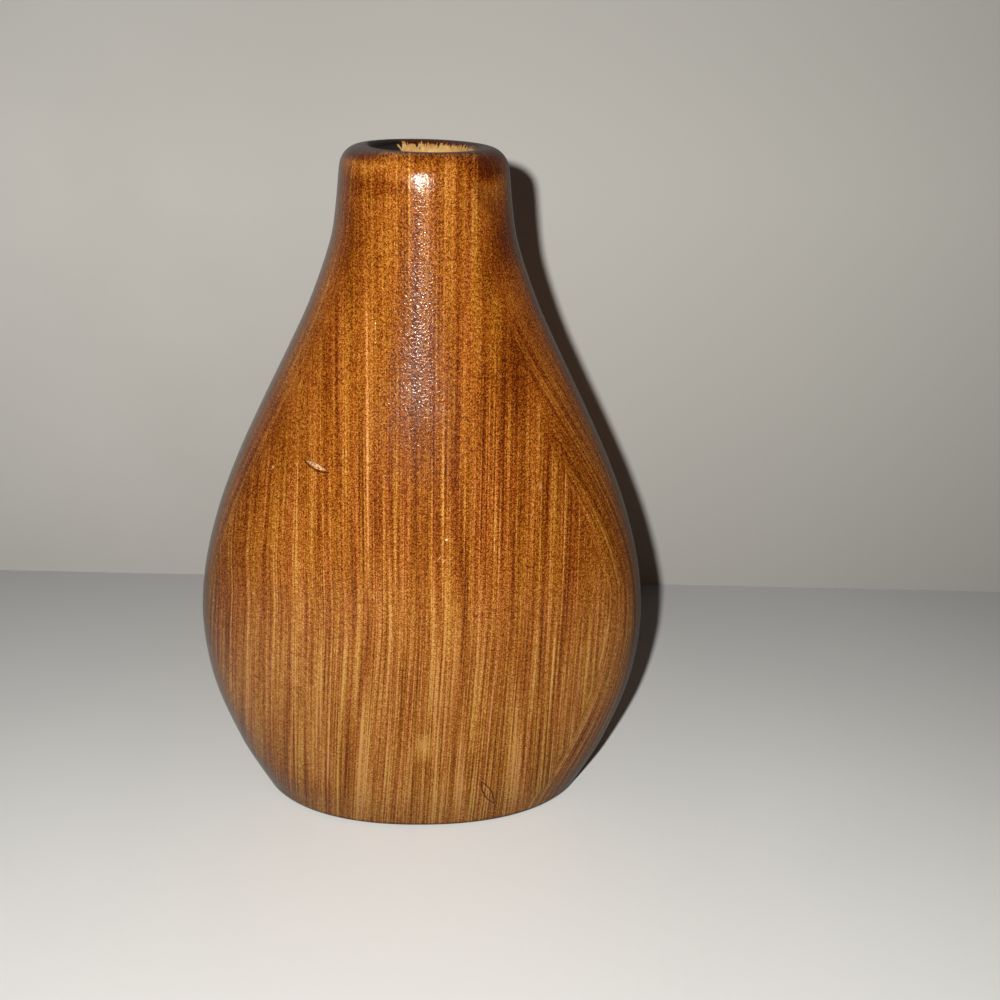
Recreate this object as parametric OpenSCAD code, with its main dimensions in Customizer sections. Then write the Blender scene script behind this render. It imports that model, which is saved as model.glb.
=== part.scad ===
// Flat bottle vase: a hollow clay body on an oval foot, with a round neck and a thick rounded lip.
// An ochre lining covers the inside and a brushed brown glaze covers the outside and the lip.
// Sizes are in millimetres. The origin is the middle of the foot on the table, +Z is up and
// the broad front of the vase looks along -Y. The outer sizes are those of the glazed vase.

/* [Body] */
// height from the table to the crest of the lip
body_h = 150; // [110:1:220]
// widest part of the belly, side to side
belly_w = 103.2; // [84:0.2:150]
// deepest part of the body, front to back
belly_d = 61.6; // [54:0.2:90]
// foot, side to side
foot_w = 78; // [60:0.5:98]
// foot, front to back
foot_d = 49.5; // [40:0.5:58]
// radius of the edge between the foot and the wall
foot_round = 1.2; // [0.8:0.1:3]

/* [Neck and mouth] */
// outside of the neck where the lip starts to round over
lip_d = 33.6; // [33:0.2:42]
// radius of the outside of the lip
lip_round = 4.4; // [3:0.1:4.4]
// radius of the inside edge of the lip
mouth_round = 2.6; // [1:0.1:2.6]
// clear width of the round mouth
mouth_d = 19; // [14:0.2:19.2]

/* [Walls and coats] */
// clay wall round the belly
wall_t = 4.6; // [3:0.1:6]
// clay floor inside, above the hollow under the foot
floor_t = 4.8; // [3:0.1:9]
// rounding between the inside wall and the floor
floor_round = 7; // [3:0.5:10]
// width of the flat ring that stands on the table
foot_ring_w = 6; // [4:0.5:10]
// depth of the hollow under the foot
foot_hollow_h = 1.2; // [0.6:0.1:2]
// brushed glaze on the outside
glaze_t = 0.4; // [0.2:0.05:0.8]
// bare clay between the table and the glaze
glaze_gap = 0.5; // [0.3:0.1:0.7]
// ochre lining inside
lining_t = 0.3; // [0.2:0.05:0.7]

/* [Smoothness] */
// points round each level
sides = 40; // [24:4:48]
// levels up the outside wall
wall_steps = 18; // [12:1:22]
// levels up the inside wall
inside_steps = 14; // [10:1:18]

/* [Hidden] */
// How square the oval is: 2 is an ellipse, and more fills its corners.
belly_power = 2.2;
neck_power = 2;
// The neck leans in by this many degrees where it meets the lip.
neck_lean = 12;
// Steps in the outer and the inner arc of the lip. The glaze ends after glaze_turns of the inner ones.
lip_steps = 5;
mouth_steps = 4;
glaze_turns = 2;
floor_steps = 4;

// Heights as shares of neck_top_z, and how far the half width has gone
// from the foot to the belly, and from the lip to the belly.
foot_to_belly_w_shares = [[0, 0], [0.05, 0.28], [0.10, 0.535], [0.20, 0.89]];
belly_to_lip_w_shares = [[0.29, 1], [0.351, 0.985], [0.421, 0.93], [0.502, 0.825], [0.582, 0.685],
  [0.662, 0.52], [0.743, 0.345], [0.803, 0.22], [0.863, 0.117], [0.904, 0.06], [0.934, 0.036],
  [0.962, 0.02], [0.976, 0.0135], [0.986, 0.009], [0.995, 0.0038], [1, 0]];
foot_to_belly_d_shares = [[0, 0], [0.08, 0.44], [0.22, 0.74]];
belly_to_lip_d_shares = [[0.41, 1], [0.55, 0.785], [0.66, 0.532], [0.75, 0.318], [0.82, 0.184],
  [0.875, 0.105], [0.915, 0.0645], [0.942, 0.045], [0.962, 0.035], [0.976, 0.0289], [0.986, 0.0215],
  [0.995, 0.0096], [1, 0]];
// The section turns from the belly's oval to the neck's circle between these heights.
oval_end_share = 0.42;
round_start_share = 0.86;
// The wall thickens towards the lip from here.
thick_start_share = 0.84;
slope_step_share = 0.002;

lip_r = lip_d / 2;
mouth_r = mouth_d / 2;
crest_z = body_h;
lip_arc_z = body_h - lip_round;
lip_arc_r = lip_r - lip_round * cos(neck_lean);
neck_top_z = lip_arc_z + lip_round * sin(neck_lean);
mouth_arc_z = body_h - mouth_round;
mouth_arc_r = mouth_r + mouth_round;
floor_z = foot_hollow_h + floor_t;
lip_clay_t = lip_r - mouth_r - 2 * glaze_t;

w_table = concat(
  [for (s = foot_to_belly_w_shares) [s[0], foot_w / 2 + (belly_w - foot_w) / 2 * s[1]]],
  [for (s = belly_to_lip_w_shares) [s[0], lip_r + (belly_w / 2 - lip_r) * s[1]]]);
d_table = concat(
  [for (s = foot_to_belly_d_shares) [s[0], foot_d / 2 + (belly_d - foot_d) / 2 * s[1]]],
  [for (s = belly_to_lip_d_shares) [s[0], lip_r + (belly_d / 2 - lip_r) * s[1]]]);

function part_of(t) = min(1, max(0, t));
function ease(t) = let (u = part_of(t)) u * u * (3 - 2 * u);

// Slope of a table at its row i, from the rows on both sides of it.
function row_slope(tab, i) = let (a = max(0, i - 1), b = min(len(tab) - 1, i + 1))
  (tab[b][1] - tab[a][1]) / (tab[b][0] - tab[a][0]);
function row_of(tab, s, i = 0) = (i >= len(tab) - 2 || s <= tab[i + 1][0]) ? i : row_of(tab, s, i + 1);
// Smooth curve through a table's rows.
function curve(tab, s) = let (
    i = row_of(tab, s),
    h = tab[i + 1][0] - tab[i][0],
    t = (s - tab[i][0]) / h)
  (2 * t * t * t - 3 * t * t + 1) * tab[i][1]
  + (t * t * t - 2 * t * t + t) * h * row_slope(tab, i)
  + (3 * t * t - 2 * t * t * t) * tab[i + 1][1]
  + (t * t * t - t * t) * h * row_slope(tab, i + 1);

// Half width, half depth and squareness of the glazed outside at height z.
function at(z) = part_of(z / neck_top_z);
function half_w(z) = curve(w_table, at(z));
function half_d(z) = curve(d_table, at(z));
function power(z) = belly_power + (neck_power - belly_power)
  * ease((at(z) - oval_end_share) / (round_start_share - oval_end_share));
// How much further a level lies than a layer is thick, because the wall leans.
function lean(tab, z) = let (
    s = min(1 - slope_step_share, max(slope_step_share, at(z))),
    d = (curve(tab, s + slope_step_share) - curve(tab, s - slope_step_share))
      / (2 * slope_step_share * neck_top_z))
  sqrt(1 + d * d);
// The rounded edge at the foot takes this much off each side.
function edge_cut(z) = z >= foot_round ? 0
  : foot_round - sqrt(max(0, foot_round * foot_round - (foot_round - z) * (foot_round - z)));
// Clay between the two coats, thicker at the lip.
function clay_t(z) = wall_t + (lip_clay_t - wall_t)
  * ease((at(z) - thick_start_share) / (1 - thick_start_share));
// The inside leans less and less near the lip.
function inner_lean(tab, z) = 1 + (lean(tab, z) - 1)
  * (1 - ease((at(z) - thick_start_share) / (1 - thick_start_share)));

function level(w, d, p, z) = [for (j = [0:sides - 1]) let (
    a = 360 * j / sides,
    c = cos(a),
    s = sin(a))
  [w * sign(c) * pow(abs(c), 2 / p), d * sign(s) * pow(abs(s), 2 / p), z]];
function round_level(r, z) = level(r, r, neck_power, z);

// A level of the outside wall, in by a layer of the given thickness.
function wall_level(z, in) = level(
  half_w(z) - edge_cut(z) - in * lean(w_table, z),
  half_d(z) - edge_cut(z) - in * lean(d_table, z),
  power(z), z);
// A level of the clay's inside, in by a lining of the given thickness.
function inside_level(z, in) = let (
    t = glaze_t + clay_t(z) + in,
    low = floor_z + in,
    f = z >= low + floor_round ? 0
      : floor_round - sqrt(max(0, floor_round * floor_round - (low + floor_round - z) * (low + floor_round - z))))
  level(
    half_w(z) - t * inner_lean(w_table, z) - f,
    half_d(z) - t * inner_lean(d_table, z) - f,
    power(z), z);

// Levels that the clay and the glaze share, from the end of the glaze up to the lip.
glaze_foot_z = [glaze_gap, (glaze_gap + foot_round) / 2];
wall_z = concat(glaze_foot_z,
  [for (i = [0:wall_steps]) foot_round + (neck_top_z - foot_round) * i / wall_steps]);
// Levels of the inside, from the lip down to the floor.
function inside_z(in) = let (
    low = floor_z + in,
    bend = low + floor_round)
  concat(
    [for (i = [0:inside_steps]) mouth_arc_z + (bend - mouth_arc_z) * i / inside_steps],
    [for (i = [1:floor_steps]) low + floor_round * (1 - sin(90 * i / floor_steps))]);

function lip_levels(in) = [for (i = [1:lip_steps]) let (a = neck_lean + (90 - neck_lean) * i / lip_steps)
  round_level(lip_arc_r + (lip_round - in) * cos(a), lip_arc_z + (lip_round - in) * sin(a))];
// The inner arc, with out as the layer on top of the clay.
function mouth_level(i, out) = let (a = 90 + 90 * i / mouth_steps, r = mouth_round - glaze_t + out)
  round_level(mouth_arc_r + r * cos(a), mouth_arc_z + r * sin(a));
function mouth_levels(from, to, out) = [for (i = [from:to]) mouth_level(i, out)];

// The outside from the end of the glaze to its end inside the lip, in by a layer.
function outside(in) = concat(
  [for (z = wall_z) wall_level(z, in)],
  lip_levels(in),
  mouth_levels(0, glaze_turns, glaze_t - in));
// The inside from the end of the glaze down to the floor, in by a lining.
function inside(in) = concat(
  mouth_levels(glaze_turns, mouth_steps - 1, in),
  [for (z = inside_z(in)) inside_level(z, in)]);

function backwards(v) = [for (i = [len(v) - 1:-1:0]) v[i]];
function points_of(levels) = [for (l = levels, p = l) p];
// Two triangles between levels a and b at point j. With turn the pair is cut the other way,
// so that a layer that is listed backwards has the same triangles as the clay under it.
function pair(a, b, j, turn) = let (k = (j + 1) % sides)
  turn ? [[a * sides + j, b * sides + j, a * sides + k], [a * sides + k, b * sides + j, b * sides + k]]
  : [[a * sides + j, b * sides + j, b * sides + k], [a * sides + j, b * sides + k, a * sides + k]];
function band(a, b, turn) = [for (j = [0:sides - 1]) each pair(a, b, j, turn)];

// A closed skin through levels listed up the outside and down the inside, with a flat at both ends.
module shell(levels) {
  n = len(levels);
  polyhedron(
    points = points_of(levels),
    faces = concat(
      [[for (j = [0:sides - 1]) j]],
      [for (i = [0:n - 2]) each band(i, i + 1, false)],
      [[for (j = [sides - 1:-1:0]) (n - 1) * sides + j]]));
}

// A closed coat: levels up its outer face, then back down the clay, joined at both ends.
module coat(outer, inner) {
  m = len(outer);
  n = m + len(inner);
  polyhedron(
    points = points_of(concat(outer, backwards(inner))),
    faces = concat(
      [for (i = [0:n - 2]) each band(i, i + 1, i >= m)],
      band(n - 1, 0, false)));
}

// Fired clay: the hollow under the foot, the standing ring, the wall, the lip and the inside.
module clay_body() {
  ring_w = half_w(0) - foot_round - glaze_t;
  ring_d = half_d(0) - foot_round - glaze_t;
  color("#d9b98c")
    shell(concat(
      [level(ring_w - foot_ring_w - foot_hollow_h, ring_d - foot_ring_w - foot_hollow_h, belly_power, foot_hollow_h)],
      [level(ring_w - foot_ring_w, ring_d - foot_ring_w, belly_power, 0)],
      [level(ring_w, ring_d, belly_power, 0)],
      outside(glaze_t),
      [for (i = [1:len(inside(0)) - 1]) inside(0)[i]]));
}

// Ochre coat from the end of the glaze at the mouth down to the whole floor.
module ochre_lining() {
  color("#cf9a4a")
    shell(concat(backwards(inside(lining_t)), inside(0)));
}

// Brushed glaze from just above the table, up the wall, over the lip and into the mouth.
module grain_glaze() {
  color("#9a5a26")
    coat(outside(0), outside(glaze_t));
}

clay_body();
ochre_lining();
grain_glaze();
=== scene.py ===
"""Flat ceramic bottle vase, brushed with a brown glaze that looks like wood grain.

The clay body comes first, then the ochre lining and the grain glaze on it, then the table and wall,
the camera and the light. Lengths are in metres unless a name ends in _mm or _deg.
"""

import bpy
import numpy as np
from mathutils import Matrix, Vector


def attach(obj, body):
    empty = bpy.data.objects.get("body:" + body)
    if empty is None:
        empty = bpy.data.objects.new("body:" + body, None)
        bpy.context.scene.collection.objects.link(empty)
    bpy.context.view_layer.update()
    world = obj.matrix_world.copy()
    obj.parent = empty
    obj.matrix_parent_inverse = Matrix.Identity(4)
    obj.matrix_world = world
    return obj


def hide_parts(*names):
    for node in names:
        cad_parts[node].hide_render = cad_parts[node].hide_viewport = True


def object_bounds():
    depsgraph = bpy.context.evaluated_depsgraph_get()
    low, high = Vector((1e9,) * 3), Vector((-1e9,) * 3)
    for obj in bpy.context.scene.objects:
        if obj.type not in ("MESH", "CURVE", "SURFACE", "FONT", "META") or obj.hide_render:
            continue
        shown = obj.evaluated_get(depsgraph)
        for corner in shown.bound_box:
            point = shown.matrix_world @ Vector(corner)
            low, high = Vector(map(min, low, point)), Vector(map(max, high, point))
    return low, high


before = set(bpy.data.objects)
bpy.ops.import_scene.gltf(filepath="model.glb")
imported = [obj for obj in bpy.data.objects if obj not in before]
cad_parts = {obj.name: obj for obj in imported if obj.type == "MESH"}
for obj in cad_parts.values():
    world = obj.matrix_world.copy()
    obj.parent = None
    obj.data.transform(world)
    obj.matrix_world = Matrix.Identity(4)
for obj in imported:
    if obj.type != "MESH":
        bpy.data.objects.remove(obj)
cad_low, cad_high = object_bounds()


# ---- Clay body ----------------------------------------------------------------------------------
# Slip-cast buff clay: a flattened belly on an oval foot, a round neck and a thick lip.
# It shows only under the foot, where a standing ring surrounds a shallow hollow,
# and as a thin bare line under the end of the glaze.
body_height = 0.150
belly_width, belly_depth = 0.1032, 0.0616
foot_width, foot_depth = 0.078, 0.0495
foot_edge_radius = 0.0012
lip_width, lip_radius, mouth_width, mouth_radius = 0.0336, 0.0044, 0.0190, 0.0026
neck_lean = np.radians(12)
wall_thickness, floor_thickness, floor_radius = 0.0046, 0.0048, 0.007
standing_ring_width, foot_hollow = 0.006, 0.0012
glaze_thickness, lining_thickness, bare_foot_line = 0.0004, 0.0003, 0.0005
columns = 288
outside_steps, inside_steps = 60, 50
crease_deg = 38

lip_arc_height = body_height - lip_radius
lip_arc_reach = lip_width / 2 - lip_radius * np.cos(neck_lean)
neck_top = lip_arc_height + lip_radius * np.sin(neck_lean)
mouth_arc_height = body_height - mouth_radius
mouth_arc_reach = mouth_width / 2 + mouth_radius
cavity_floor = foot_hollow + floor_thickness


def profile_table(foot_rows, lip_rows, foot, belly, lip):
    """Rows of (share of the neck's height, half size): the foot's rows go from the foot's half size to the
    belly's, and the lip's rows from the belly's to the lip's, each by its own share."""
    return np.array([[s, foot + (belly - foot) * v] for s, v in foot_rows]
                    + [[s, lip + (belly - lip) * v] for s, v in lip_rows])


width_profile = profile_table(
    [(0, 0), (0.05, 0.28), (0.10, 0.535), (0.20, 0.89)],
    [(0.29, 1), (0.351, 0.985), (0.421, 0.93), (0.502, 0.825), (0.582, 0.685), (0.662, 0.52), (0.743, 0.345),
     (0.803, 0.22), (0.863, 0.117), (0.904, 0.06), (0.934, 0.036), (0.962, 0.02), (0.976, 0.0135),
     (0.986, 0.009), (0.995, 0.0038), (1, 0)],
    foot_width / 2, belly_width / 2, lip_width / 2)
depth_profile = profile_table(
    [(0, 0), (0.08, 0.44), (0.22, 0.74)],
    [(0.41, 1), (0.55, 0.785), (0.66, 0.532), (0.75, 0.318), (0.82, 0.184), (0.875, 0.105), (0.915, 0.0645),
     (0.942, 0.045), (0.962, 0.035), (0.976, 0.0289), (0.986, 0.0215), (0.995, 0.0096), (1, 0)],
    foot_depth / 2, belly_depth / 2, lip_width / 2)


def curve(table, at):
    """Smooth curve through a table's rows: between two rows runs the cubic that has, at each row, the slope of
    the line joining the rows on its two sides."""
    x, v = np.asarray(table, float).T
    slope = np.empty(len(x))
    slope[1:-1] = (v[2:] - v[:-2]) / (x[2:] - x[:-2])
    slope[0], slope[-1] = (v[1] - v[0]) / (x[1] - x[0]), (v[-1] - v[-2]) / (x[-1] - x[-2])
    at = np.clip(at, x[0], x[-1])
    i = np.clip(np.searchsorted(x, at) - 1, 0, len(x) - 2)
    h = x[i + 1] - x[i]
    t = (at - x[i]) / h
    return ((2 * t**3 - 3 * t**2 + 1) * v[i] + (t**3 - 2 * t**2 + t) * h * slope[i]
            + (3 * t**2 - 2 * t**3) * v[i + 1] + (t**3 - t**2) * h * slope[i + 1])


def ease(t):
    """0 below 0, 1 above 1, and three squares less two cubes of t between."""
    u = np.clip(t, 0, 1)
    return u * u * (3 - 2 * u)


def squareness(z):
    """Power of the oval section: 2.2 in the belly, turning to a circle's 2 towards the neck."""
    return 2.2 - 0.2 * ease((z / neck_top - 0.42) / 0.44)


def wall_slope(profile, z):
    """Change of the half size with height, from the profile a little above and below."""
    s = np.clip(z / neck_top, 0.002, 0.998)
    return (curve(profile, s + 0.002) - curve(profile, s - 0.002)) / (0.004 * neck_top)


def outside_half_sizes(z, layer):
    """Half width and half depth of the outside at heights z, in by a layer: the profile, less the quarter
    circle cut from the foot's edge, less the layer times the root of 1 and the slope squared."""
    low = np.clip(foot_edge_radius - z, 0, None)
    edge = foot_edge_radius - np.sqrt(np.clip(foot_edge_radius**2 - low**2, 0, None))
    return [np.minimum(curve(p, z / neck_top) - edge, limit) - layer * np.sqrt(1 + wall_slope(p, z) ** 2)
            for p, limit in ((width_profile, cad_high.x), (depth_profile, cad_high.y))]


def inside_half_sizes(z, layer):
    """Half width and half depth of the cavity at heights z, in by a lining: the outside, less the glaze and the
    clay, which thickens towards the lip, less a quarter circle where the wall meets the floor."""
    near_lip = ease((z / neck_top - 0.84) / 0.16)
    lip_clay = (lip_width - mouth_width) / 2 - 2 * glaze_thickness
    wall = glaze_thickness + wall_thickness + (lip_clay - wall_thickness) * near_lip + layer
    low = np.clip(cavity_floor + layer + floor_radius - z, 0, floor_radius)
    bend = floor_radius - np.sqrt(floor_radius**2 - low**2)
    return [curve(p, z / neck_top) - wall * (1 + (np.sqrt(1 + wall_slope(p, z) ** 2) - 1) * (1 - near_lip)) - bend
            for p in (width_profile, depth_profile)]


def oval_levels(half_w, half_d, z):
    """Points of a stack of oval levels, one row of the grid a level: x is the half width times the cosine of the
    turn, y the half depth times its sine, each to the power 2 / squareness with its sign kept."""
    turn = 2 * np.pi * np.arange(columns) / columns
    half_w, half_d, z = np.broadcast_arrays(*np.atleast_1d(half_w, half_d, z))
    fill = (2 / squareness(z))[:, None]
    c, s = np.cos(turn), np.sin(turn)
    return np.stack([half_w[:, None] * np.sign(c) * np.abs(c) ** fill,
                     half_d[:, None] * np.sign(s) * np.abs(s) ** fill,
                     np.repeat(z[:, None], columns, 1)], -1)


def ring_levels(centre_reach, centre_height, radius, angles):
    """Round levels along an arc: reach and height are the arc's centre plus its radius times cosine and sine."""
    reach = centre_reach + radius * np.cos(angles)
    return oval_levels(reach, reach, centre_height + radius * np.sin(angles))


def outside_levels(layer, steps):
    """The outside from the end of the glaze at the foot, up the wall, over the lip's outer arc and half way
    round its inner arc, in by a layer."""
    t = np.linspace(0, 1, steps)
    z = bare_foot_line + (neck_top - bare_foot_line) * (0.12 * t**3 + 0.88 * t)
    return np.concatenate([
        oval_levels(*outside_half_sizes(z, layer), z),
        ring_levels(lip_arc_reach, lip_arc_height, lip_radius - layer, np.linspace(neck_lean, np.pi / 2, 15)[1:]),
        ring_levels(mouth_arc_reach, mouth_arc_height, mouth_radius - layer,
                    np.radians(np.linspace(90, 135, 7)))])


def inside_levels(layer, steps):
    """The inside from half way round the lip's inner arc down the cavity and round to its floor."""
    bend_top = cavity_floor + layer + floor_radius
    z = np.concatenate([np.linspace(mouth_arc_height, bend_top, steps)[1:],
                        bend_top - floor_radius * np.sin(np.radians(np.linspace(0, 90, 9)[1:]))])
    return np.concatenate([
        ring_levels(mouth_arc_reach, mouth_arc_height, mouth_radius - glaze_thickness + layer,
                    np.radians(np.linspace(135, 180, 7))),
        oval_levels(*inside_half_sizes(z, layer), z)])


def skin(name, levels, round_trip):
    """A closed mesh through levels listed so that the outside is on the right of the way up: squares between
    neighbouring levels, and either the last level joined to the first or a fan of triangles on both ends."""
    rows = len(levels)
    below = np.arange(rows if round_trip else rows - 1)[:, None] * columns
    above = (below + columns) % (rows * columns)
    j = np.arange(columns)
    k = (j + 1) % columns
    squares = np.stack([below + j, below + k, above + k, above + j], -1).reshape(-1, 4).tolist()
    points = levels.reshape(-1, 3)
    if not round_trip:
        first, last = rows * columns, rows * columns + 1
        points = np.concatenate([points, levels[[0, -1]].mean(1)])
        top = (rows - 1) * columns
        squares += np.stack([np.full(columns, first), k, j], -1).tolist()
        squares += np.stack([np.full(columns, last), top + j, top + k], -1).tolist()
    mesh = bpy.data.meshes.new(name)
    mesh.from_pydata(points.tolist(), [], squares)
    mesh.shade_smooth()
    mesh.set_sharp_from_angle(angle=np.radians(crease_deg))
    piece = bpy.data.objects.new(name, mesh)
    bpy.context.scene.collection.objects.link(piece)
    return piece


def node(tree, kind, feed=None, **settings):
    """A new shader node with its settings. feed gives inputs by name or place, each as a value or as the socket
    that drives it."""
    made = tree.nodes.new("ShaderNode" + kind)
    for name, value in settings.items():
        setattr(made, name, value)
    for name, value in (feed or {}).items():
        if isinstance(value, bpy.types.NodeSocket):
            tree.links.new(value, made.inputs[name])
        else:
            made.inputs[name].default_value = value
    return made


def maths(tree, operation, *values):
    """The result of a Math node on the values or sockets."""
    return node(tree, "Math", dict(enumerate(values)), operation=operation).outputs[0]


def between(tree, value, low, high, to_low=0.0, to_high=1.0):
    """A smooth step of the value, from to_low at low to to_high at high."""
    return node(tree, "MapRange", {0: value, 1: low, 2: high, 3: to_low, 4: to_high},
                interpolation_type="SMOOTHSTEP").outputs[0]


def mixed(tree, share, first, second, how="MIX"):
    """Two colours mixed by a share from 0, the first, to 1, the second."""
    return node(tree, "Mix", {0: share, 6: first, 7: second}, data_type="RGBA", blend_type=how).outputs[2]


def noise(tree, vector, sizes, detail=1.0, roughness=0.5):
    """Noise from 0 to 1 whose grains are the sizes long on the vector's three axes."""
    scaled = node(tree, "VectorMath", {0: vector, 1: [1 / s for s in sizes]}, operation="MULTIPLY").outputs[0]
    return node(tree, "TexNoise", {"Vector": scaled, "Scale": 1.0, "Detail": detail, "Roughness": roughness}).outputs[0]


def paint(red, green, blue):
    """A colour as it is seen on a screen, 0 to 255 each, as the linear colour that a shader wants."""
    c = np.array([red, green, blue]) / 255
    c = np.where(c <= 0.04045, c / 12.92, ((c + 0.055) / 1.055) ** 2.4)
    return (*c.tolist(), 1.0)


def colour_ramp(tree, share, stops):
    """A colour between stops, each a place from 0 to 1 and a colour as seen on a screen."""
    ramp = node(tree, "ValToRGB", {0: share})
    band = ramp.color_ramp
    while len(band.elements) < len(stops):
        band.elements.new(0.5)
    for element, (place, colour) in zip(band.elements, stops):
        element.position, element.color = place, paint(*colour)
    return ramp.outputs[0]


def group(name, inputs, outputs):
    """An empty shader group with float or vector inputs and outputs, as the tree and its two end nodes."""
    tree = bpy.data.node_groups.new(name, "ShaderNodeTree")
    for side, sockets in (("INPUT", inputs), ("OUTPUT", outputs)):
        for socket_name, kind in sockets:
            tree.interface.new_socket(socket_name, in_out=side, socket_type="NodeSocket" + kind)
    return tree, tree.nodes.new("NodeGroupInput").outputs, tree.nodes.new("NodeGroupOutput").inputs


def empty_material(name):
    """A new empty material, as itself, its node tree and the place on the piece that it is put on."""
    made = bpy.data.materials.new(name)
    made.use_nodes = True
    made.node_tree.nodes.clear()
    return made, made.node_tree, node(made.node_tree, "TexCoord").outputs["Object"]


def reach_from_axis(tree, x, y):
    """How far a place is from the vase's upright axis."""
    level = node(tree, "CombineXYZ", {0: x, 1: y}).outputs[0]
    return node(tree, "VectorMath", {0: level}, operation="LENGTH").outputs["Value"]


# Fine grog and iron specks, shared by the clay, the lining and the glaze.
specks, given, gives = group("iron specks", [("Place", "Vector"), ("Amount", "Float")],
                             [("Mottle", "Float"), ("Dark specks", "Float")])
coarse = noise(specks, given["Place"], (0.0022, 0.0022, 0.0022), 3.0, 0.6)
fine = noise(specks, given["Place"], (0.0005, 0.0005, 0.0005), 2.0, 0.6)
specks.links.new(maths(specks, "ADD", maths(specks, "MULTIPLY", coarse, 0.55), maths(specks, "MULTIPLY", fine, 0.45)),
                 gives["Mottle"])
dots = node(specks, "TexVoronoi", {"Vector": given["Place"], "Scale": 900.0, "Randomness": 1.0})
dot = between(specks, dots.outputs["Distance"], 0.34, 0.12)
chosen = between(specks, node(specks, "SeparateColor", {0: dots.outputs["Color"]}).outputs[0], 0.62, 0.8)
specks.links.new(maths(specks, "MULTIPLY", maths(specks, "MULTIPLY", dot, chosen), given["Amount"]),
                 gives["Dark specks"])

# Where the ochre shows inside the mouth: below the ragged ends of the brown brush marks, which run
# a little past the top of the lip. On the left, below a slanted edge, the ochre starts much deeper; the near-black
# above it there is painted shade, where the lip shades the inside.
brush_gap, tooth_length, left_shade_drop = 0.0002, 0.0016, 0.009
mouth, given, gives = group("mouth edge", [("Place", "Vector")], [("Ochre", "Float")])
x, y, z = node(mouth, "SeparateXYZ", {0: given["Place"]}).outputs
from_axis = reach_from_axis(mouth, x, y)
turn = maths(mouth, "ARCTAN2", y, x)
round_rim = node(mouth, "CombineXYZ", {0: maths(mouth, "MULTIPLY", turn, 10.5), 1: 0.0, 2: 3.0}).outputs[0]
teeth = between(mouth, noise(mouth, round_rim, (0.9, 1.0, 1.0), 2.0, 0.75), 0.36, 0.72)
slant = maths(mouth, "MULTIPLY_ADD", z, 0.75, x)
slant = maths(mouth, "MULTIPLY_ADD", noise(mouth, given["Place"], (0.0012, 0.0012, 0.0012), 2.0), 0.0005, slant)
brush_end = maths(mouth, "SUBTRACT", body_height - brush_gap, maths(mouth, "MULTIPLY", teeth, tooth_length))
brush_end = maths(mouth, "SUBTRACT", brush_end, between(mouth, slant, 0.1063, 0.1059, 0.0, left_shade_drop))
below = between(mouth, maths(mouth, "SUBTRACT", brush_end, z), -0.00004, 0.0001)
mouth.links.new(maths(mouth, "MULTIPLY", below, between(mouth, from_axis, 0.0119, 0.0117)), gives["Ochre"])

clay_rows = np.concatenate([
    oval_levels(*[h - foot_edge_radius - glaze_thickness - standing_ring_width - foot_hollow
                  for h in (foot_width / 2, foot_depth / 2)], foot_hollow),
    oval_levels(*[h - foot_edge_radius - glaze_thickness - standing_ring_width
                  for h in (foot_width / 2, foot_depth / 2)], 0.0),
    oval_levels(*[h - foot_edge_radius - glaze_thickness for h in (foot_width / 2, foot_depth / 2)], 0.0),
    outside_levels(glaze_thickness, outside_steps), inside_levels(0.0, inside_steps)[1:]])
clay_body = skin("clay_body_fired", clay_rows, False)

clay, tree, place = empty_material("bare_clay")
spots = node(tree, "Group", {"Place": place, "Amount": 0.8}, node_tree=specks).outputs
tone = colour_ramp(tree, spots["Mottle"], [(0.3, (176, 140, 100)), (0.5, (204, 170, 128)), (0.7, (222, 192, 152))])
colour = mixed(tree, spots["Dark specks"], tone, paint(104, 66, 40))
scuffs = between(tree, noise(tree, place, (0.009, 0.004, 0.004), 4.0, 0.65), 0.52, 0.66)
colour = mixed(tree, maths(tree, "MULTIPLY", scuffs, 0.4), colour, paint(150, 118, 88))
height = maths(tree, "ADD", spots["Mottle"], maths(tree, "MULTIPLY", noise(tree, place, (0.0003,) * 3, 2.0), 0.6))
bump = node(tree, "Bump", {"Strength": 1.0, "Distance": 0.00009, "Height": height}).outputs[0]
matt = maths(tree, "ADD", maths(tree, "MULTIPLY", spots["Mottle"], 0.2), 0.72)
shader = node(tree, "BsdfPrincipled", {"Base Color": colour, "Roughness": matt, "Normal": bump})
node(tree, "OutputMaterial", {"Surface": shader.outputs[0]})
clay_body.data.materials.append(clay)
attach(clay_body, "root")
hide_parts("clay_body")


# ---- Ochre lining -------------------------------------------------------------------------------
# A thin matt ochre slip poured into the vase. It starts half way round the lip's inner edge,
# where the ends of the brown brush marks run on to it in ragged scallops.
lining_steps = 90
lining_rows = np.concatenate([inside_levels(0.0, inside_steps)[::-1], inside_levels(lining_thickness, lining_steps)])
lining = skin("ochre_lining_slip", lining_rows, False)

slip, tree, place = empty_material("ochre_lining")
spots = node(tree, "Group", {"Place": place, "Amount": 0.9}, node_tree=specks).outputs
tone = colour_ramp(tree, spots["Mottle"], [(0.3, (148, 102, 48)), (0.48, (180, 136, 74)), (0.68, (202, 170, 112))])
colour = mixed(tree, spots["Dark specks"], tone, paint(96, 54, 20))
ochre = node(tree, "Group", {"Place": place}, node_tree=mouth).outputs["Ochre"]
# Above the brush ends the lining is near-black; on the left, where the lip shades the inside, this near-black reaches
# far down and is painted shade.
colour = mixed(tree, ochre, paint(16, 8, 5), colour)
bump = node(tree, "Bump", {"Strength": 1.0, "Distance": 0.0001, "Height": spots["Mottle"]}).outputs[0]
matt = maths(tree, "MULTIPLY_ADD", ochre, 0.1, 0.7)
shader = node(tree, "BsdfPrincipled", {"Base Color": colour, "Roughness": matt, "Normal": bump})
node(tree, "OutputMaterial", {"Surface": shader.outputs[0]})
lining.data.materials.append(slip)
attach(lining, "root")
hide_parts("ochre_lining")


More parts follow.
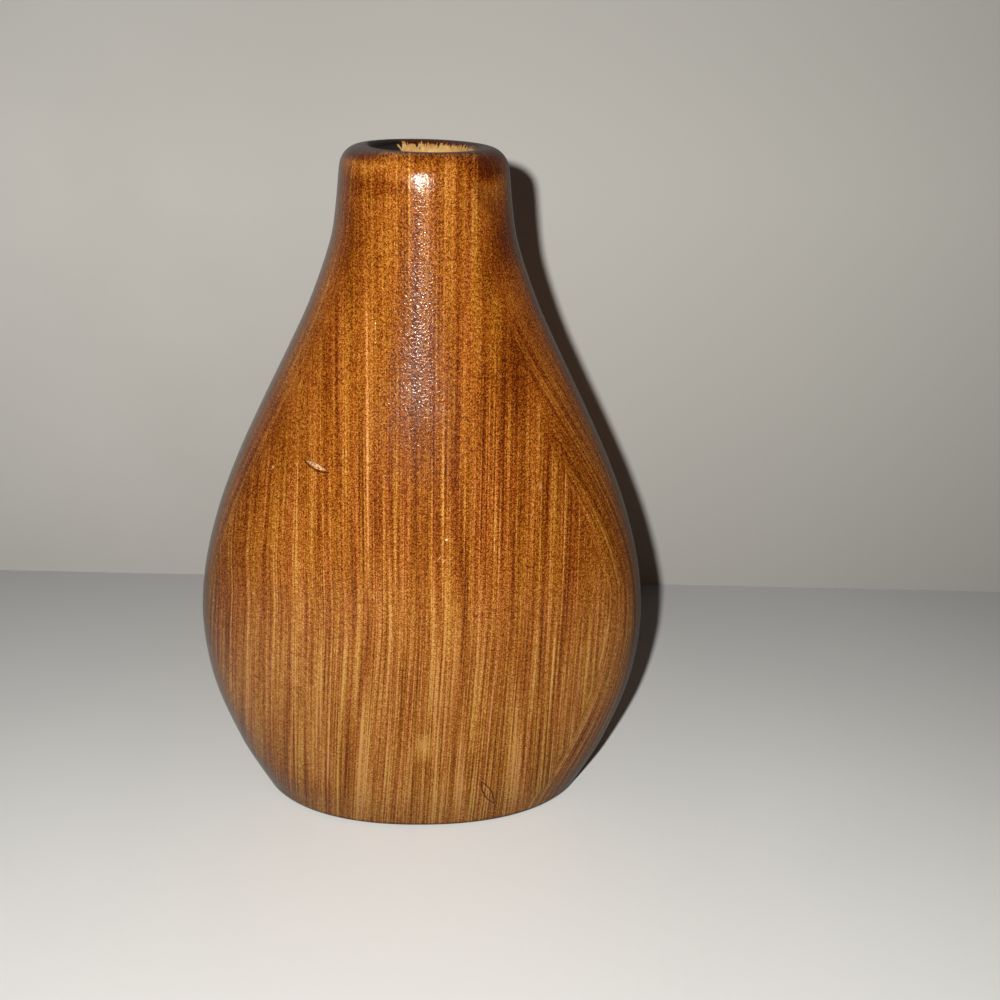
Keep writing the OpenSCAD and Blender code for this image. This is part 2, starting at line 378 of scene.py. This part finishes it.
# ---- Grain glaze --------------------------------------------------------------------------------
# Brown glaze dragged on with a stiff brush over a light ground, so that its bristles leave light lines
# like wood grain: upright on the front and back, and along the outline on both sides, where they fan out
# on the right shoulder. It is glossy, with the fine pitting of orange peel, and is thickest on the lip.
glaze_steps = 190
glaze_rows = np.concatenate([outside_levels(0.0, glaze_steps), outside_levels(glaze_thickness, outside_steps)[::-1]])
glaze_coat = skin("grain_glaze_brushed", glaze_rows, True)

side_fan_deg, left_fan_share = 34.0, 0.35
hip_turn_right_deg, hip_turn_left_deg = 15.0, 22.0
mm_across_a_degree = 0.45
low_narrowing, low_lean, high_lean = 0.0027, 0.05, 0.08
right_edge_rows = [(0, 54), (9, 51), (21, 47), (30, 45), (41, 41), (51, 38.5), (58, 36), (72, 39.5), (86, 41.5),
                   (103, 44), (121, 45), (150, 47)]
left_edge_rows = [(0, 24), (12, 22), (34, 20), (48, 20), (62, 24), (80, 28), (98, 34), (120, 40), (150, 42)]


def stroke_fields(points):
    """Where each point lies in the brush strokes, in millimetres.
    Upright strokes: across is x, drawn in low on the left and leaning to the right low in the middle and
    high on the left, and along is z.
    Side strokes: across is the turn from the side, plus a fan that opens down the right shoulder and closes
    along the hip, and along is z. Reach is how far inside the side strokes' area the point lies."""
    x_mm, y_mm, z_mm = points.reshape(-1, 3).T * 1000
    turn = 2 * np.pi * np.arange(columns) / columns
    turn = np.degrees(np.tile(turn, len(points)))
    right = x_mm >= 0
    from_side = np.where(right, np.where(turn > 180, 360 - turn, -turn), turn - 180)
    drawn_in = 1 + low_narrowing * np.clip(60 - z_mm, 0, None) * ease(-x_mm / 10)
    under = np.clip(65 - z_mm, 0, None)
    rise = np.where(under < 15, under**2 / 30, under - 7.5)
    lean = low_lean * rise * ease((x_mm + 28) / 16) * ease((30 - x_mm) / 20)
    lean -= high_lean * np.clip(z_mm - 70, 0, 55) * ease((-20 - x_mm) / 12)
    upright = np.stack([x_mm / drawn_in + lean, z_mm, np.where(y_mm < 0, 0.0, 60.0)], -1)
    fan = (side_fan_deg * ease((140 - z_mm) / 80) * np.where(right, 1, left_fan_share)
           - np.where(right, hip_turn_right_deg, hip_turn_left_deg) * np.clip((60 - z_mm) / 50, 0, 1))
    across = mm_across_a_degree * (from_side + fan * np.tanh(from_side / 15))
    sides = np.stack([across, z_mm, np.where(right, 20.0, 40.0)], -1)
    edge = np.where(right, curve(right_edge_rows, z_mm), curve(left_edge_rows, z_mm))
    local_mm = np.hypot(x_mm, y_mm) * np.pi / 180
    return upright, sides, (edge - np.abs(from_side)) * local_mm


upright, sides, reach = stroke_fields(glaze_rows)
for name, kind, values in (("upright_strokes", "FLOAT_VECTOR", upright), ("side_strokes", "FLOAT_VECTOR", sides),
                           ("side_reach", "FLOAT", reach)):
    field = glaze_coat.data.attributes.new(name, kind, "POINT")
    field.data.foreach_set("vector" if kind == "FLOAT_VECTOR" else "value", values.astype(np.float32).ravel())

# The marks that one pass of the brush leaves, from a place across and along the strokes in millimetres.
brush, given, gives = group("brush strokes", [("Strokes", "Vector"), ("Lane", "Float")],
                            [("Light lines", "Float"), ("Tone", "Float"), ("Fleck", "Float"), ("Warmth", "Float")])
across, along, seed = node(brush, "SeparateXYZ", {0: given["Strokes"]}).outputs
sway = maths(brush, "MULTIPLY_ADD", noise(brush, given["Strokes"], (7, 45, 1), 1.0), 0.5, -0.25)
swayed = maths(brush, "ADD", across, sway)


def bristle_lines(lane, half_line, fade_length, kept_from, kept_to):
    """Thin lines a lane apart, each thinned out by its own strength and fading in and out along the stroke."""
    place_in_lane = maths(brush, "MULTIPLY_ADD", seed, 3.1, maths(brush, "DIVIDE", swayed, lane))
    cells = node(brush, "TexVoronoi", {"W": place_in_lane, "Scale": 1.0, "Randomness": 0.9}, voronoi_dimensions="1D")
    line = between(brush, cells.outputs["Distance"], half_line, 0.0)
    own = node(brush, "SeparateColor", {0: cells.outputs["Color"]}).outputs
    run = node(brush, "CombineXYZ", {0: maths(brush, "MULTIPLY", cells.outputs["W"], 5.3),
                                     1: maths(brush, "DIVIDE", along, fade_length), 2: seed}).outputs[0]
    there = between(brush, noise(brush, run, (1, 1, 1), 1.0), 0.34, 0.6)
    return maths(brush, "MULTIPLY", maths(brush, "MULTIPLY", line, there), between(brush, own[0], kept_from, kept_to))


wide = bristle_lines(given["Lane"], 0.2, 40.0, 0.2, 0.9)
thin = bristle_lines(maths(brush, "MULTIPLY", given["Lane"], 0.5), 0.3, 26.0, 0.1, 1.0)
drawn = maths(brush, "MAXIMUM", wide, maths(brush, "MULTIPLY", thin, 0.75))
brush.links.new(drawn, gives["Light lines"])
tone = -1.85
for width_mm, length_mm, share in ((4.2, 90, 0.4), (1.2, 44, 0.7), (0.6, 38, 1.0), (0.3, 32, 1.6)):
    tone = maths(brush, "MULTIPLY_ADD", noise(brush, given["Strokes"], (width_mm, length_mm, 1), 0.0), share, tone)
brush.links.new(tone, gives["Tone"])
grains = node(brush, "VectorMath", {0: given["Strokes"], 1: (5.4, 4.4, 1.0)}, operation="MULTIPLY").outputs[0]
grains = node(brush, "TexVoronoi", {"Vector": grains, "Scale": 1.0, "Randomness": 1.0}).outputs["Color"]
fleck = node(brush, "SeparateColor", {0: grains}).outputs[0]
fleck = maths(brush, "MULTIPLY_ADD", noise(brush, given["Strokes"], (0.19, 0.26, 1), 1.0, 0.6), 0.9,
              maths(brush, "MULTIPLY_ADD", fleck, 0.7, -0.3))
brush.links.new(fleck, gives["Fleck"])
brush.links.new(between(brush, noise(brush, given["Strokes"], (1.3, 50, 1), 2.0, 0.6), 0.34, 0.66), gives["Warmth"])

# A lens-shaped mark on the front: how far inside it a point is, and where across it from -1 to 1.
lens, given, gives = group("lens mark", [("Place", "Vector"), ("Centre", "Vector"), ("Tilt", "Vector"),
                                         ("Half size", "Vector")], [("Inside", "Float"), ("Across", "Float")])
moved = node(lens, "VectorMath", {0: given["Place"], 1: given["Centre"]}, operation="SUBTRACT").outputs[0]
turned = node(lens, "VectorRotate", {"Vector": moved, "Rotation": given["Tilt"]}, rotation_type="EULER_XYZ",
              invert=True).outputs[0]
scaled = node(lens, "VectorMath", {0: turned, 1: given["Half size"]}, operation="DIVIDE").outputs[0]
u, _, v = node(lens, "SeparateXYZ", {0: scaled}).outputs
width_there = maths(lens, "SUBTRACT", 1.0, maths(lens, "MULTIPLY", u, u))
lens.links.new(maths(lens, "SUBTRACT", width_there, maths(lens, "ABSOLUTE", v)), gives["Inside"])
lens.links.new(v, gives["Across"])

glaze, tree, place = empty_material("grain_glaze")
upright = node(tree, "Attribute", attribute_name="upright_strokes").outputs["Vector"]
sides = node(tree, "Attribute", attribute_name="side_strokes").outputs["Vector"]
reach = node(tree, "Attribute", attribute_name="side_reach").outputs["Fac"]
front = node(tree, "Group", {"Strokes": upright, "Lane": 1.5}, node_tree=brush).outputs
side = node(tree, "Group", {"Strokes": sides, "Lane": 1.4}, node_tree=brush).outputs
ragged = maths(tree, "MULTIPLY_ADD", noise(tree, upright, (1.4, 40, 1), 1.0), 9.0, -4.5)
on_side = between(tree, maths(tree, "ADD", reach, ragged), -0.9, 0.9)
lines, tone, fleck, warmth = [maths(tree, "MULTIPLY_ADD", on_side, maths(tree, "SUBTRACT", s, f), f)
                              for f, s in zip(front[:4], side[:4])]
x, y, z = node(tree, "SeparateXYZ", {0: place}).outputs
cloud = noise(tree, place, (0.022, 0.022, 0.03), 2.0, 0.5)
is_front = between(tree, y, 0.0, -0.002)


def long_strokes(strokes):
    """A profile across the front with a peak at each stroke, given as its place and half width in millimetres
    and its strength in hundredths."""
    stops = [(0.0, 0)]
    for place_mm, half_mm, strength in strokes:
        centre, half = (place_mm + 45) / 90, half_mm * 0.75 / 90
        stops += [(centre - half, 0), (centre, strength), (centre + half, 0)]
    ramp = node(tree, "ValToRGB", {0: maths(tree, "MULTIPLY_ADD", upright_across, 1 / 90, 0.5)})
    while len(ramp.color_ramp.elements) < len(stops):
        ramp.color_ramp.elements.new(0.5)
    for element, (at, strength) in zip(ramp.color_ramp.elements, stops):
        element.position, element.color = at, (strength / 100, strength / 100, strength / 100, 1)
    return ramp.outputs[0]


upright_across = node(tree, "SeparateXYZ", {0: upright}).outputs[0]
light_upper = [(-17.6, 0.4, 45), (-16.0, 0.4, 75), (-13.3, 0.35, 55), (-10.8, 0.75, 100), (-4.9, 0.4, 45),
               (-2.4, 0.4, 85), (4.6, 0.4, 40), (9.6, 0.5, 80), (22.6, 0.4, 70), (27.2, 0.45, 80)]
light_lower = [(-35.3, 0.45, 60), (-24.8, 0.5, 75), (-21.2, 0.5, 85), (-15.8, 0.4, 60), (-10.6, 0.45, 70),
               (-6.4, 0.5, 60), (2.4, 0.5, 100), (4.9, 0.9, 85), (12.2, 0.5, 60), (26.0, 0.5, 65)]
dark_upper = [(-19.5, 0.8, 60), (-17.0, 0.5, 75), (-8.6, 0.8, 45), (-1.3, 0.8, 75), (2.2, 0.9, 50), (6.9, 0.7, 80),
              (12.2, 1.0, 80), (16.0, 1.4, 60), (20.4, 0.9, 55), (25.0, 1.0, 60)]
dark_lower = [(-33.0, 0.9, 60), (-27.6, 0.7, 55), (-18.0, 0.7, 60), (-13.4, 0.6, 45), (-3.2, 0.8, 60),
              (8.6, 0.8, 50), (14.6, 0.9, 70), (19.0, 0.9, 45), (23.4, 0.8, 60), (29.5, 1.2, 60)]
changeover = maths(tree, "MULTIPLY_ADD", noise(tree, upright, (2.0, 1000, 1), 1.0), 0.05, 0.048)
above = between(tree, maths(tree, "SUBTRACT", z, changeover), -0.006, 0.006)
worn = between(tree, noise(tree, upright, (1.2, 14, 1), 2.0), 0.25, 0.45)
main = maths(tree, "SUBTRACT", mixed(tree, above, long_strokes(light_lower), long_strokes(light_upper)),
             mixed(tree, above, long_strokes(dark_lower), long_strokes(dark_upper)))
main = maths(tree, "MULTIPLY", maths(tree, "MULTIPLY", main, is_front), maths(tree, "SUBTRACT", 1.0, on_side))
main = maths(tree, "MULTIPLY", main, worn)

soft_right = between(tree, maths(tree, "MULTIPLY_ADD", z, 0.35, x), 0.022, 0.068)
lines = maths(tree, "MULTIPLY", lines, maths(tree, "MULTIPLY_ADD", soft_right, -0.1, 1.0))
# Low down the glaze is thinner: the lines and streaks are clearer there and the flecks weaker. The shade is
# painted lighter there too, standing in for light bounced up from the table. High up the lines and streaks are softer.
low_down = between(tree, maths(tree, "MULTIPLY_ADD", x, 0.12, z), 0.075, 0.035)
high_up = between(tree, z, 0.085, 0.115)
shade = maths(tree, "MULTIPLY_ADD", low_down, 0.17, 0.365)
line_strength = maths(tree, "MULTIPLY_ADD", high_up, -0.08, maths(tree, "MULTIPLY_ADD", low_down, 0.1, 0.31))
shade = maths(tree, "MULTIPLY_ADD", lines, line_strength, shade)
shade = maths(tree, "MULTIPLY_ADD", main, 0.3, shade)
streaky = maths(tree, "MULTIPLY_ADD", high_up, -0.24, maths(tree, "MULTIPLY_ADD", low_down, 0.28, 0.46))
streaky = maths(tree, "MULTIPLY", streaky, between(tree, x, -0.036, -0.014, 0.65, 1.0))
shade = maths(tree, "MULTIPLY_ADD", tone, streaky, shade)
shade = maths(tree, "MULTIPLY_ADD", maths(tree, "SUBTRACT", fleck, 0.5),
              maths(tree, "MULTIPLY_ADD", low_down, -0.08, 0.98), shade)
shade = maths(tree, "MULTIPLY_ADD", maths(tree, "SUBTRACT", cloud, 0.5), 0.3, shade)
shade = maths(tree, "MULTIPLY_ADD", soft_right, -0.03, shade)


def beyond_patch(x_mm, z_mm, half_x_mm, half_z_mm):
    """How far a place on the front is from the middle of an oval patch, with 1 at the patch's half size."""
    spread = node(tree, "VectorMath", {0: place, 1: (x_mm / 1000, 0, z_mm / 1000)}, operation="SUBTRACT").outputs[0]
    shares = (1000 / half_x_mm, 0, 1000 / half_z_mm)
    spread = node(tree, "VectorMath", {0: spread, 1: shares}, operation="MULTIPLY").outputs[0]
    return node(tree, "VectorMath", {0: spread}, operation="LENGTH").outputs["Value"]


# Patches where the brush left more glaze, darker, or less, lighter: place, half size, and change of shade.
# The two dark ones down the middle of the front, 117 and 104 mm up, are instead painted shade that tones down
# the lamp's sheen there.
for x_mm, z_mm, half_x, half_z, change in (
        (-10, 147, 8, 2.6, 0.24), (12, 147, 4.2, 2.6, -0.62), (-13.5, 138, 4.5, 12, -0.26), (-9.5, 145, 5.5, 3.6, -0.3),
        (-14.5, 126, 4, 7, -0.14), (15.5, 133, 4, 9, -0.36), (-2, 117, 3.5, 22, -0.16), (19, 111, 4.5, 12, -0.25),
        (-20, 112, 6, 9, -0.12), (27, 106, 9, 12, -0.08), (1, 104, 9, 18, -0.17), (14, 97, 7, 12, -0.1),
        (-30, 96, 4, 9, -0.2), (30, 92, 5, 14, -0.08), (-35.5, 84, 4, 9, -0.2), (-27, 74, 6, 16, 0.1),
        (13, 73, 5, 12, -0.09), (-40, 66, 6, 14, -0.12), (40, 55, 6, 16, 0.05), (-42, 50, 4, 14, -0.2),
        (-5, 43, 4, 9, -0.04), (0.6, 26, 1.6, 3.6, 0.45), (-24, 10, 6, 5, -0.15), (3, 9, 26, 8, 0.11)):
    patch = maths(tree, "MULTIPLY", between(tree, beyond_patch(x_mm, z_mm, half_x, half_z), 1.5, 0.0), is_front)
    shade = maths(tree, "MULTIPLY_ADD", patch, change, shade)
# The glaze is thickest, and nearly black, where it turns into the mouth and on the left end of the lip.
# It is brown on the right end, and thin where the front rolls over.
from_axis = reach_from_axis(tree, x, y)
crest = between(tree, z, 0.1474, 0.1492)
uneven_reach = maths(tree, "MULTIPLY_ADD", noise(tree, place, (0.002,) * 3, 2.0), 0.0016, from_axis)
turned_in = between(tree, uneven_reach, 0.0144, 0.0134)
turned_in = maths(tree, "MULTIPLY", turned_in, between(tree, x, -0.004, 0.003, 1.0, 0.38))
left_end = between(tree, x, -0.0055, -0.0115, 0.0, 0.8)
right_end = between(tree, x, 0.0065, 0.0125, 0.0, 0.3)
far_side = between(tree, y, -0.006, 0.001, 0.0, 0.85)
thick = maths(tree, "MAXIMUM", turned_in, maths(tree, "MAXIMUM", left_end, maths(tree, "MAXIMUM", right_end, far_side)))
# Painted shade: the far left of the lip's inner edge, which the lip shades, is painted near-black.
black_reach = maths(tree, "SUBTRACT", from_axis, between(tree, y, 0.0, 0.006, 0.0, 0.0013))
black = maths(tree, "MULTIPLY", between(tree, black_reach, 0.0115, 0.0109), between(tree, x, -0.0045, -0.006))
black = maths(tree, "MULTIPLY", black, between(tree, y, -0.003, 0.0))
shade = maths(tree, "MULTIPLY_ADD", maths(tree, "MULTIPLY", crest, thick), -0.72, shade)
front_edge = maths(tree, "MULTIPLY", between(tree, z, 0.1476, 0.1492), between(tree, y, -0.008, -0.011))
shade = maths(tree, "MULTIPLY_ADD", front_edge, -0.08, shade)
# Painted shadow: a dark line along the bottom of the glaze, where the foot stands on the table.
foot_contact_shadow = between(tree, z, 0.0018, 0.0007)
shade = maths(tree, "MULTIPLY_ADD", foot_contact_shadow, -0.35, shade)
# Fine slanting scratches through the glaze, low on the left.
slanting = node(tree, "VectorRotate", {"Vector": place, "Angle": np.radians(-45)}, rotation_type="Y_AXIS").outputs[0]
scratches = between(tree, noise(tree, slanting, (0.0025, 1.0, 0.0004), 1.0), 0.35, 0.65, -0.16, 0.16)
scratched = between(tree, beyond_patch(-26.2, 44.2, 3.4, 8.0), 1.3, 0.6)
shade = maths(tree, "MULTIPLY_ADD", maths(tree, "MULTIPLY", scratched, is_front), scratches, shade)

colour = colour_ramp(tree, maths(tree, "MULTIPLY_ADD", shade, 0.8, 0.2), [
    (0.0, (64, 24, 7)), (0.2, (84, 34, 9)), (0.36, (118, 56, 12)), (0.52, (144, 80, 21)), (0.68, (169, 104, 37)),
    (0.84, (191, 132, 62)), (1.0, (209, 160, 96))])
# Some strokes are more yellow and some more red.
redder = mixed(tree, 1.0, colour, (1.0, 0.88, 0.92, 1.0), "MULTIPLY")
yellower = mixed(tree, 1.0, colour, (1.0, 1.05, 0.8, 1.0), "MULTIPLY")
colour = mixed(tree, warmth, yellower, redder)
# Painted shade at the rims: the colour darkens where the surface is seen at a slant.
facing = node(tree, "LayerWeight", {"Blend": 0.5}).outputs["Facing"]
colour = mixed(tree, between(tree, facing, 0.52, 0.92, 0.0, 0.65), colour, paint(28, 18, 10))
ochre = node(tree, "Group", {"Place": place}, node_tree=mouth).outputs["Ochre"]
colour = mixed(tree, ochre, colour, paint(182, 140, 78))
colour = mixed(tree, black, colour, paint(14, 8, 5))

# The nick and the other small marks on the front.
nick = node(tree, "Group", {"Place": place, "Centre": (-0.0212, 0.0, 0.0903), "Tilt": (0.0, np.radians(17), 0.0),
                            "Half size": (0.0025, 1.0, 0.00062)}, node_tree=lens).outputs
in_nick = between(tree, nick["Inside"], 0.0, 0.35)
in_nick = maths(tree, "MULTIPLY", in_nick, is_front)
pits = between(tree, noise(tree, place, (0.00028, 0.00028, 0.00028), 1.0), 0.4, 0.5)
bare = mixed(tree, pits, paint(104, 52, 26), paint(222, 172, 122))
colour = mixed(tree, in_nick, colour, bare)
# Painted shadow: the nick's lower edge is painted dark red-brown.
nick_shadow_edge = between(tree, maths(tree, "ABSOLUTE", maths(tree, "ADD", nick["Inside"], 0.3)), 0.5, 0.1)
nick_shadow_edge = maths(tree, "MULTIPLY", nick_shadow_edge, between(tree, nick["Across"], 0.2, -0.5))
nick_shadow_edge = maths(tree, "MULTIPLY", maths(tree, "MULTIPLY", nick_shadow_edge, is_front), 0.85)
colour = mixed(tree, nick_shadow_edge, colour, paint(56, 16, 6))
leaf = node(tree, "Group", {"Place": place, "Centre": (0.0151, 0.0, 0.0109), "Tilt": (0.0, np.radians(69), 0.0),
                            "Half size": (0.0042, 1.0, 0.0009)}, node_tree=lens).outputs
outline = between(tree, maths(tree, "ABSOLUTE", leaf["Inside"]), 0.24, 0.08)
colour = mixed(tree, maths(tree, "MULTIPLY", outline, is_front), colour, paint(76, 28, 2))

# Chips of light glaze, small smudges, a dark streak on the neck and one painted glint in the sheen below the
# neck's highlight: the place, half size and tilt of each, its colour and its strength.
for x_mm, z_mm, half_x, half_z, tilt_deg, chip, strength in (
        (5.0, 77.1, 0.36, 0.26, 20, (240, 214, 170), 0.9), (3.6, 73.3, 0.7, 0.12, -50, (224, 178, 120), 0.7),
        # The light dot 0.8 mm left of the middle and 122.4 mm up is a painted glint.
        (4.5, 72.6, 0.6, 0.12, -50, (224, 178, 120), 0.6), (-0.8, 122.4, 0.3, 0.22, 0, (240, 210, 160), 0.8),
        (-30.7, 88.0, 0.3, 0.3, 0, (222, 176, 118), 0.7), (-35.6, 61.4, 0.35, 0.3, 0, (222, 176, 118), 0.6),
        (24.1, 86.3, 0.35, 0.9, 12, (196, 138, 92), 0.6), (24.7, 86.2, 0.25, 0.8, 12, (112, 52, 24), 0.5),
        (-22.8, 92.2, 0.8, 0.7, 30, (96, 44, 22), 0.5), (10.9, 88.6, 0.3, 0.5, 0, (176, 96, 70), 0.6),
        (11.9, 141.6, 5.0, 1.7, 55, (84, 34, 10), 0.5)):
    mark = node(tree, "Group", {"Place": place, "Centre": (x_mm / 1000, 0.0, z_mm / 1000),
                                "Tilt": (0.0, np.radians(tilt_deg), 0.0),
                                "Half size": (half_x / 1000, 1.0, half_z / 1000)}, node_tree=lens).outputs
    there = maths(tree, "MULTIPLY", between(tree, mark["Inside"], -0.1, 0.5, 0.0, strength), is_front)
    colour = mixed(tree, there, colour, paint(*chip))

peel = noise(tree, place, (0.0004, 0.0004, 0.0004), 2.0, 0.55)
height = maths(tree, "MULTIPLY_ADD", lines, 0.25, peel)
height = maths(tree, "SUBTRACT", height, maths(tree, "MULTIPLY", in_nick, 5.0))
bump = node(tree, "Bump", {"Strength": 1.0, "Distance": 0.00006, "Height": height}).outputs[0]
gloss = maths(tree, "MULTIPLY_ADD", fleck, -0.04, between(tree, peel, 0.36, 0.58, 0.28, 0.15))
gloss = maths(tree, "MULTIPLY_ADD", maths(tree, "MAXIMUM", in_nick, black), 0.35, gloss)
shader = node(tree, "BsdfPrincipled", {"Base Color": colour, "Roughness": gloss, "Normal": bump,
                                       "IOR": 1.5, "Specular IOR Level": 0.32, "Specular Tint": (1.0, 0.93, 0.84, 1.0)})
node(tree, "OutputMaterial", {"Surface": shader.outputs[0]})
glaze_coat.data.materials.append(glaze)
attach(glaze_coat, "root")
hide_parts("grain_glaze")


# ---- Table and wall -----------------------------------------------------------------------------
# The vase stands on a plain white table, a hand's width in front of a plain off-white wall.
# Seen from behind, the wall is left clear so that the back of the vase shows.
wall_distance, wall_turn = 0.0958, -0.0342
sheet_reach, wall_height = 0.7, 0.5
under_lamp = (-0.014, -0.22, 0)
along_wall = np.array([np.cos(wall_turn), np.sin(wall_turn)])


def flat_sheet(name, corners):
    """A flat sheet through its corners, listed anticlockwise as seen from its front."""
    mesh = bpy.data.meshes.new(name)
    mesh.from_pydata(corners, [], [tuple(range(len(corners)))])
    sheet = bpy.data.objects.new(name, mesh)
    bpy.context.scene.collection.objects.link(sheet)
    return sheet


right_x, right_y = sheet_reach * along_wall + (0, wall_distance)
left_x, left_y = -sheet_reach * along_wall + (0, wall_distance)
table = flat_sheet("table", [(-sheet_reach, -sheet_reach, 0), (sheet_reach, -sheet_reach, 0),
                             (sheet_reach, sheet_reach, 0), (-sheet_reach, sheet_reach, 0)])
wall = flat_sheet("wall", [(left_x, left_y, 0), (right_x, right_y, 0), (right_x, right_y, wall_height),
                           (left_x, left_y, wall_height)])
wall.visible_shadow = False

for sheet, name, left, middle, right_side in (
        (table, "white_table", (252, 252, 250), (240, 240, 238), (250, 250, 247)),
        (wall, "off_white_wall", (234, 232, 226), (213, 211, 205), (215, 213, 206))):
    coat, tree, place = empty_material(name)
    x, y, z = node(tree, "SeparateXYZ", {0: place}).outputs
    drift = maths(tree, "MULTIPLY_ADD", noise(tree, place, (0.06, 0.06, 0.06), 3.0), 0.08, -0.04)
    across_sheet = maths(tree, "ADD", x, drift)
    # Painted light and shade: each sheet is darker in the middle and lighter towards the sides, most of all on the
    # wall's left, standing in for how the lamp's light falls across it.
    colour = mixed(tree, between(tree, across_sheet, -0.02, -0.16), paint(*middle), paint(*left))
    colour = mixed(tree, between(tree, across_sheet, 0.04, 0.16), colour, paint(*right_side))
    seen = node(tree, "LightPath").outputs
    glow = 0.0
    if sheet is table:
        # The table is painted a little darker under the lamp, which evens out the lamp's pool of light. Behind the wall
        # and far from the lamp it still looks pale, and casts no light from there.
        from_lamp = node(tree, "VectorMath", {0: place, 1: under_lamp}, operation="DISTANCE").outputs["Value"]
        colour = mixed(tree, between(tree, from_lamp, 0.0, 0.25, 0.52, 1.0), (0, 0, 0, 1), colour)
        behind = between(tree, maths(tree, "MULTIPLY_ADD", x, -wall_turn, y), wall_distance, wall_distance + 0.03)
        glow = maths(tree, "MAXIMUM", behind, between(tree, from_lamp, 0.37, 0.6))
        glow = maths(tree, "MULTIPLY", maths(tree, "MULTIPLY", glow, 0.45), seen["Is Camera Ray"])
    else:
        # Painted shade: the wall is a little darker high up, where the lamp's light falls off.
        colour = mixed(tree, between(tree, z, 0.12, 0.19, 1.0, 0.85), (0, 0, 0, 1), colour)
    # Light that has bounced off the sheet is toned down, so that the vase's shadow stays deep.
    in_gloss = maths(tree, "MULTIPLY", seen["Is Glossy Ray"], between(tree, x, 0.0, -0.08, 0.3, 0.9))
    direct = maths(tree, "ADD", seen["Is Camera Ray"], in_gloss)
    colour = mixed(tree, direct, mixed(tree, 1.0, colour, (0.12, 0.12, 0.12, 1.0), "MULTIPLY"), colour)
    shader = node(tree, "BsdfPrincipled", {"Base Color": colour, "Roughness": 0.8, "Specular IOR Level": 0.1,
                                           "Emission Color": paint(240, 241, 243),
                                           "Emission Strength": glow}).outputs[0]
    if sheet is wall:
        see_through = maths(tree, "MULTIPLY", node(tree, "NewGeometry").outputs["Backfacing"], seen["Is Camera Ray"])
        shader = node(tree, "MixShader", {0: see_through, 1: shader,
                                          2: node(tree, "BsdfTransparent").outputs[0]}).outputs[0]
    node(tree, "OutputMaterial", {"Surface": shader})
    sheet.data.materials.append(coat)


# ---- Camera -------------------------------------------------------------------------------------
# A hand-held phone a little above the vase, looking down at it, with its small lamp beside the lens.
camera_place = np.array([0.00483, -0.21822, 0.17202])
pitch, yaw, roll = 0.4245, 0.0565, 0.0325
ahead = np.array([np.sin(yaw) * np.cos(pitch), np.cos(yaw) * np.cos(pitch), -np.sin(pitch)])
level_right = np.array([np.cos(yaw), -np.sin(yaw), 0])
level_up = np.cross(level_right, ahead)
right = level_right * np.cos(roll) + level_up * np.sin(roll)
up = level_up * np.cos(roll) - level_right * np.sin(roll)
lens_data = bpy.data.cameras.new("phone")
lens_data.lens, lens_data.sensor_width = 37.78, 36.0
lens_data.clip_start, lens_data.clip_end = 0.01, 20.0
camera = bpy.data.objects.new("phone", lens_data)
camera.matrix_world = Matrix([[right[i], up[i], -ahead[i], camera_place[i]] for i in range(3)] + [[0, 0, 0, 1]])
bpy.context.scene.collection.objects.link(camera)
bpy.context.scene.camera = camera


# ---- Light --------------------------------------------------------------------------------------
# One small soft lamp beside the lens, with a little more glare in the glaze's highlight, an even pale room,
# and soft boxes that light only the vase from behind, from the sides and from above.
vase_middle = np.array([0, 0, 0.07])


def lamp(name, kind, place, power, **settings):
    """A lamp at a place, turned to the middle of the vase."""
    data = bpy.data.lights.new(name, kind)
    data.energy = power
    for key, value in settings.items():
        setattr(data, key, value)
    made = bpy.data.objects.new(name, data)
    towards = vase_middle - place
    towards = towards / np.linalg.norm(towards)
    side_way = np.cross(towards, (0, 0, 1))
    side_way = side_way / np.linalg.norm(side_way)
    over = np.cross(side_way, towards)
    made.matrix_world = Matrix([[side_way[i], over[i], -towards[i], place[i]] for i in range(3)] + [[0, 0, 0, 1]])
    bpy.context.scene.collection.objects.link(made)
    return made


vase_only = bpy.data.collections.new("vase_only")
for piece in (clay_body, lining, glaze_coat):
    vase_only.objects.link(piece)
lamp_place = camera_place + (-0.0189, -0.0025, 0.0123)
lamp("phone_lamp", "POINT", lamp_place, 3.0, shadow_soft_size=0.0032, color=(1.0, 0.985, 0.955))
glare = lamp("phone_lamp_glare", "POINT", lamp_place, 0.35, shadow_soft_size=0.01)
glare.light_linking.receiver_collection = vase_only
glare.visible_diffuse = False
for box_place, power, side_size, shows_in_gloss in (
        ((0, 0.95, 0.3), 5.8, 1.0, False), ((0.85, 0.2, 0.25), 0.6, 0.5, False),
        ((-0.85, 0.2, 0.25), 0.6, 0.5, False), ((-0.25, 0.8, 0.75), 0.8, 0.3, True)):
    box = lamp("soft_box", "AREA", np.array(box_place), power, shape="SQUARE", size=side_size)
    box.light_linking.receiver_collection = vase_only
    box.visible_glossy = shows_in_gloss
room_light, pale_background = 0.02, 0.7
room = bpy.data.worlds.new("room")
room.use_nodes = True
tree = room.node_tree
tree.nodes.clear()
seen = node(tree, "LightPath").outputs["Is Camera Ray"]
strength = maths(tree, "MULTIPLY_ADD", seen, pale_background, room_light)
sky = node(tree, "Background", {0: paint(250, 252, 255), 1: strength})
node(tree, "OutputWorld", {"Surface": sky.outputs[0]})
bpy.context.scene.world = room
bpy.context.scene.view_settings.view_transform = "Standard"
